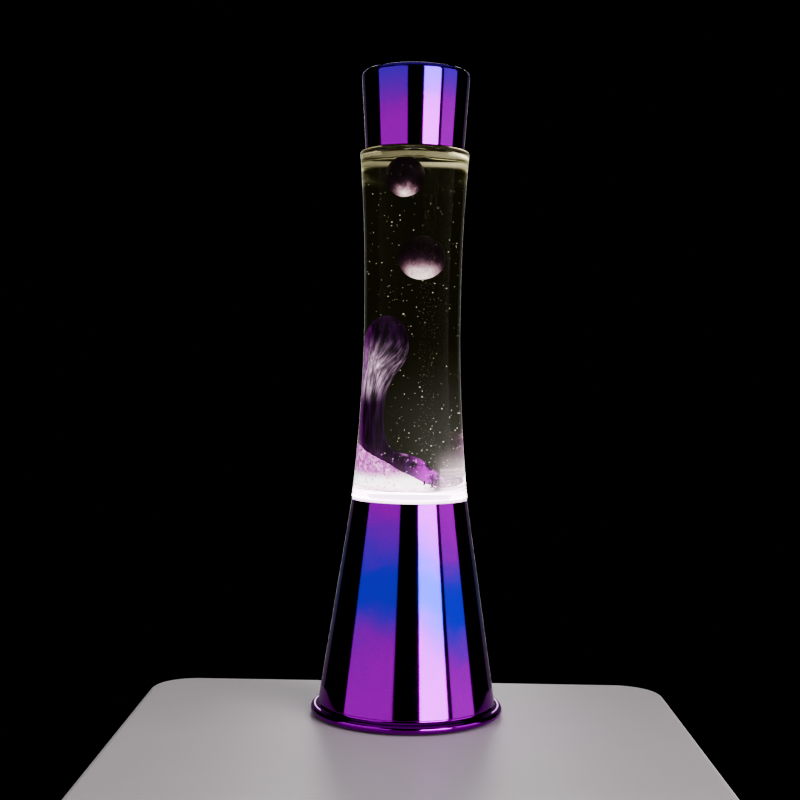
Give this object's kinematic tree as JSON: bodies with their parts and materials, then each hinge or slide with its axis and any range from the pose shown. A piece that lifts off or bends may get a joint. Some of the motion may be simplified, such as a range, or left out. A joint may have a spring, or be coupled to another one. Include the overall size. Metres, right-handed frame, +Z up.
{
  "type": "lava lamp",
  "caption": "Lava lamp with a flanged metal cone base, a waisted glass bottle of liquid and rising wax, a reflector bulb inside the base and a lift-off tapered metal cap.",
  "frame": {"origin": "centre of the footprint, on the surface that the lamp stands on", "axes": "+Z up the lamp's axis, -Y towards the viewer, +Y towards the cord inlet at the back"},
  "size_m": [0.1186, 0.1186, 0.395],
  "materials": {
    "shell_metal": "mirror polished with an iridescent purple and blue plating",
    "plate_steel": "zinc plated sheet",
    "screw_steel": "zinc plated",
    "pad_rubber": "matt",
    "black_moulding": "fine moulded grain",
    "clear_silicone": "translucent",
    "socket_ceramic": "glazed",
    "brass": "stamped",
    "bulb_glass": "clear front and silvered reflector",
    "tungsten": "coiled wire",
    "cap_nickel": "rolled thread",
    "bottle_glass": "clear, fire polished",
    "crown_steel": "tinplate",
    "white_liner": "soft",
    "lamp_liquid": "clear liquid with fine specks",
    "pale_wax": "molten, translucent, with fine bubbles",
    "purple_wax": "molten, translucent",
    "coil_wire": "drawn wire"
  },
  "bodies": {
    "base": {"base_shell": "shell_metal", "base_plate": "plate_steel", "plate_screws": "screw_steel", "foot_pads": "pad_rubber", "seat_ring": "black_moulding", "seat_gasket": "clear_silicone", "cord_grommet": "pad_rubber", "lamp_bracket": "plate_steel", "bracket_screws": "screw_steel", "lamp_socket": "socket_ceramic", "socket_nut": "brass", "socket_screw_shell": "brass", "socket_contact": "brass", "terminal_screws": "screw_steel"},
    "bulb": {"bulb_glass": "bulb_glass", "bulb_stem": "bulb_glass", "filament": "tungsten", "bulb_cap": "cap_nickel", "bulb_insulator": "black_moulding", "bulb_tip": "cap_nickel"},
    "bottle": {"bottle": "bottle_glass", "bottle_crown": "crown_steel", "crown_liner": "white_liner", "liquid": "lamp_liquid", "wax_pool": "pale_wax", "wax_column": "purple_wax", "wire_coil": "coil_wire"},
    "blob_mid": {"wax_blob_mid": "purple_wax"},
    "blob_top": {"wax_blob_top": "purple_wax"},
    "cap": {"top_cap": "shell_metal", "cap_collar": "black_moulding"}
  },
  "joints": [
    {"name": "bulb_turn", "type": "hinge", "parent": "base", "child": "bulb", "pos_m": [0, 0, 0.06], "axis": [0, 0, 1], "continuous": true},
    {"name": "bottle_lift", "type": "slide", "parent": "base", "child": "bottle", "axis": [0, 0, 1], "range_m": [0, 0.05]},
    {"name": "cap_lift", "type": "slide", "parent": "bottle", "child": "cap", "axis": [0, 0, 1], "range_m": [0, 0.055]},
    {"name": "blob_mid_rise", "type": "slide", "parent": "bottle", "child": "blob_mid", "axis": [0, 0, 1], "range_m": [-0.018, 0.01]},
    {"name": "blob_top_rise", "type": "slide", "parent": "bottle", "child": "blob_top", "axis": [0, 0, 1], "range_m": [-0.008, 0]}
  ]
}
